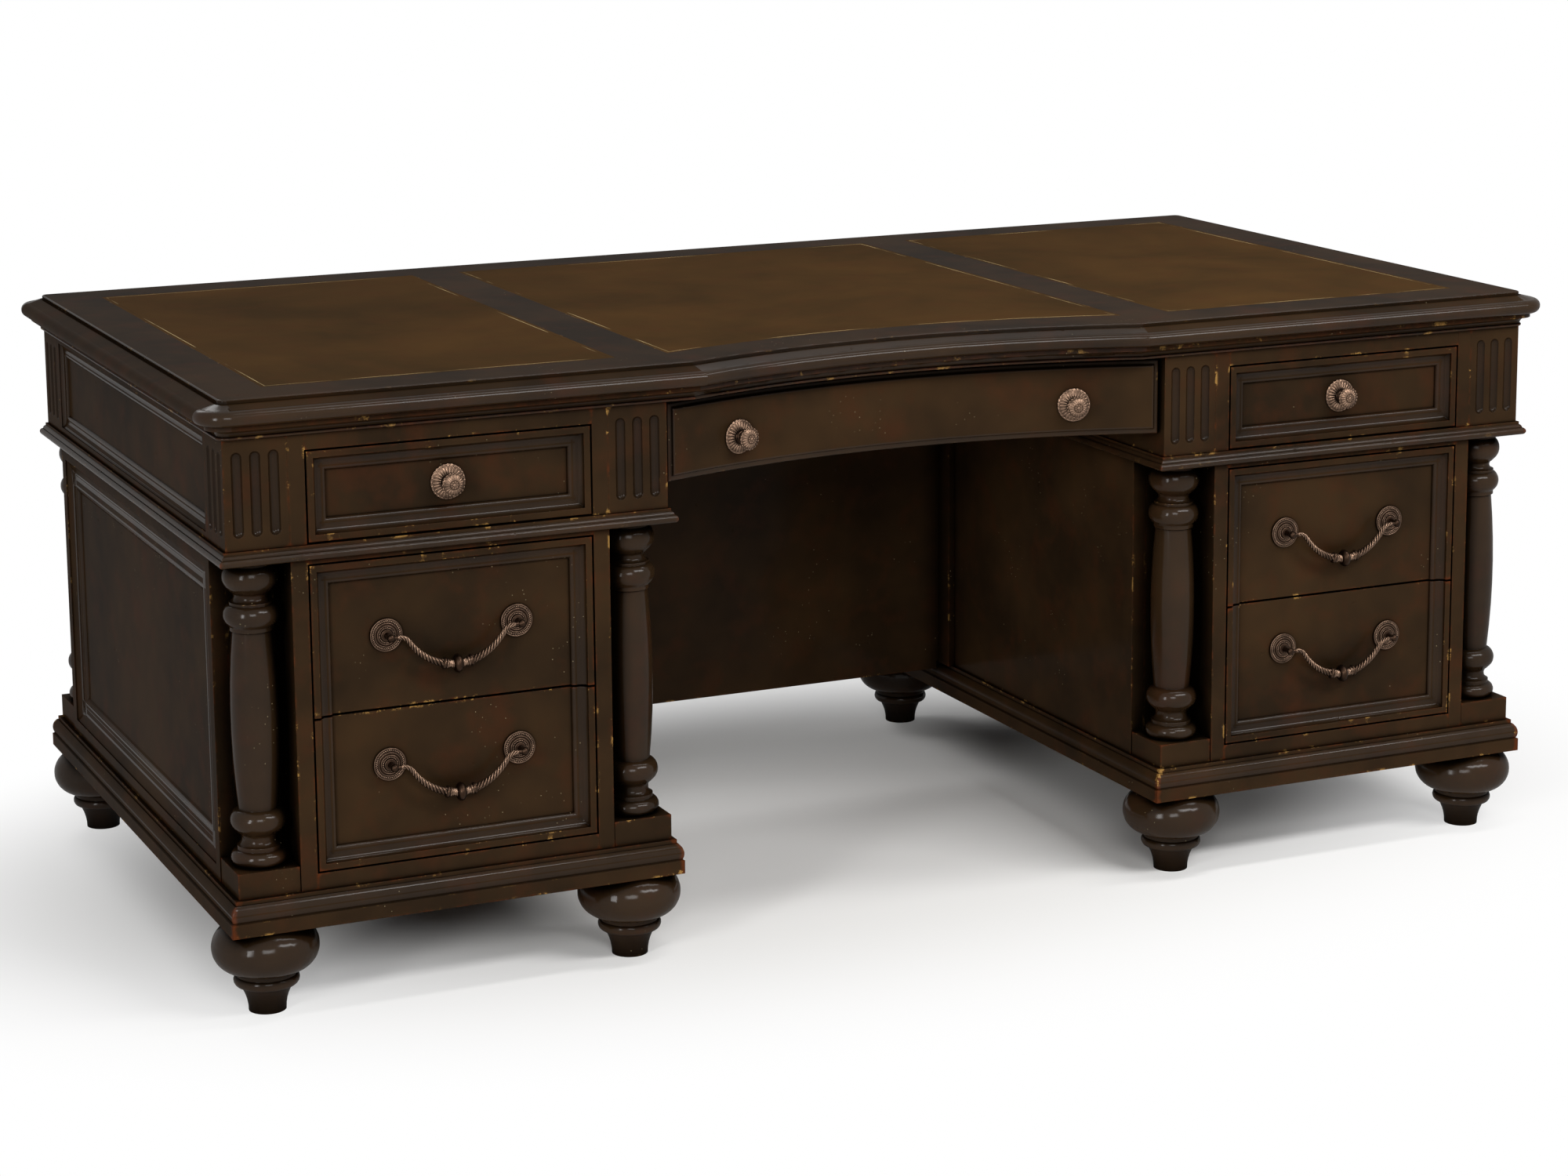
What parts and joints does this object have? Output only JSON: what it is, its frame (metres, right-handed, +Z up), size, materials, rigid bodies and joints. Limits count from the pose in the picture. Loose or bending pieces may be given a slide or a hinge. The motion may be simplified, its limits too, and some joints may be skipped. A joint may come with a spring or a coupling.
{
  "type": "executive desk",
  "caption": "Double-pedestal executive desk with a bowed leather top, turned corner columns, bun feet, panelled drawers on slides and swinging twisted bail pulls.",
  "frame": {"origin": "on the floor under the middle of the desk", "axes": "+X along the width to the right of a person sitting at the drawers, -Y out of the drawer side, +Z up"},
  "size_m": [1.936, 1, 0.78],
  "materials": {
    "black_wood": "distressed black-brown lacquer, satin, rubbed through at the edges",
    "drawer_wood": "plain sealed hardwood drawer sides",
    "writing_leather": "mottled brown leather with a tooled border line",
    "antique_copper": "antiqued copper, dark in the hollows and rubbed bright",
    "slide_steel": "zinc-plated drawer slides"
  },
  "bodies": {
    "carcass": {"top_slab": "black_wood", "cornice_board": "black_wood", "leather_left": "writing_leather", "leather_center": "writing_leather", "leather_right": "writing_leather", "frieze_back_panels": "black_wood", "front_rails": "black_wood", "modesty_panel": "black_wood", "modesty_cleats": "black_wood", "drawer_slides": "slide_steel", "pilaster_blocks_left": "black_wood", "pilaster_blocks_right": "black_wood", "frieze_side_left": "black_wood", "frieze_side_right": "black_wood", "frieze_inner_left": "black_wood", "frieze_inner_right": "black_wood", "waist_board_left": "black_wood", "waist_board_right": "black_wood", "side_panel_outer_left": "black_wood", "side_panel_outer_right": "black_wood", "side_panel_inner_left": "black_wood", "side_panel_inner_right": "black_wood", "case_boards_left": "black_wood", "case_boards_right": "black_wood", "notch_backs_left": "black_wood", "notch_backs_right": "black_wood", "back_panel_left": "black_wood", "back_panel_right": "black_wood", "base_board_left": "black_wood", "base_board_right": "black_wood", "columns_left": "black_wood", "columns_right": "black_wood", "feet_left": "black_wood", "feet_right": "black_wood"},
    "top_drawer_left": {"top_drawer_front_left": "black_wood", "top_drawer_box_left": "drawer_wood", "top_drawer_knob_left": "antique_copper"},
    "upper_drawer_left": {"upper_drawer_front_left": "black_wood", "upper_drawer_box_left": "drawer_wood", "upper_rosettes_left": "antique_copper"},
    "upper_bail_left": {"upper_bail_left": "antique_copper"},
    "lower_drawer_left": {"lower_drawer_front_left": "black_wood", "lower_drawer_box_left": "drawer_wood", "lower_rosettes_left": "antique_copper"},
    "lower_bail_left": {"lower_bail_left": "antique_copper"},
    "top_drawer_right": {"top_drawer_front_right": "black_wood", "top_drawer_box_right": "drawer_wood", "top_drawer_knob_right": "antique_copper"},
    "upper_drawer_right": {"upper_drawer_front_right": "black_wood", "upper_drawer_box_right": "drawer_wood", "upper_rosettes_right": "antique_copper"},
    "upper_bail_right": {"upper_bail_right": "antique_copper"},
    "lower_drawer_right": {"lower_drawer_front_right": "black_wood", "lower_drawer_box_right": "drawer_wood", "lower_rosettes_right": "antique_copper"},
    "lower_bail_right": {"lower_bail_right": "antique_copper"},
    "center_drawer": {"center_drawer_front": "black_wood", "center_drawer_box": "drawer_wood", "center_drawer_knobs": "antique_copper"}
  },
  "joints": [
    {"name": "top_drawer_left_slide", "type": "slide", "parent": "carcass", "child": "top_drawer_left", "axis": [0, -1, 0], "range_m": [0, 0.48]},
    {"name": "upper_drawer_left_slide", "type": "slide", "parent": "carcass", "child": "upper_drawer_left", "axis": [0, -1, 0], "range_m": [0, 0.48]},
    {"name": "upper_bail_left_swing", "type": "hinge", "parent": "upper_drawer_left", "child": "upper_bail_left", "pos_m": [-0.649, -0.475, 0.46763], "axis": [-1, 0, 0], "range_deg": [-10, 100]},
    {"name": "lower_drawer_left_slide", "type": "slide", "parent": "carcass", "child": "lower_drawer_left", "axis": [0, -1, 0], "range_m": [0, 0.48]},
    {"name": "lower_bail_left_swing", "type": "hinge", "parent": "lower_drawer_left", "child": "lower_bail_left", "pos_m": [-0.649, -0.475, 0.30288], "axis": [-1, 0, 0], "range_deg": [-10, 100]},
    {"name": "top_drawer_right_slide", "type": "slide", "parent": "carcass", "child": "top_drawer_right", "axis": [0, -1, 0], "range_m": [0, 0.48]},
    {"name": "upper_drawer_right_slide", "type": "slide", "parent": "carcass", "child": "upper_drawer_right", "axis": [0, -1, 0], "range_m": [0, 0.48]},
    {"name": "upper_bail_right_swing", "type": "hinge", "parent": "upper_drawer_right", "child": "upper_bail_right", "pos_m": [0.649, -0.475, 0.46763], "axis": [-1, 0, 0], "range_deg": [-10, 100]},
    {"name": "lower_drawer_right_slide", "type": "slide", "parent": "carcass", "child": "lower_drawer_right", "axis": [0, -1, 0], "range_m": [0, 0.48]},
    {"name": "lower_bail_right_swing", "type": "hinge", "parent": "lower_drawer_right", "child": "lower_bail_right", "pos_m": [0.649, -0.475, 0.30288], "axis": [-1, 0, 0], "range_deg": [-10, 100]},
    {"name": "center_drawer_slide", "type": "slide", "parent": "carcass", "child": "center_drawer", "axis": [0, -1, 0], "range_m": [0, 0.3]}
  ]
}
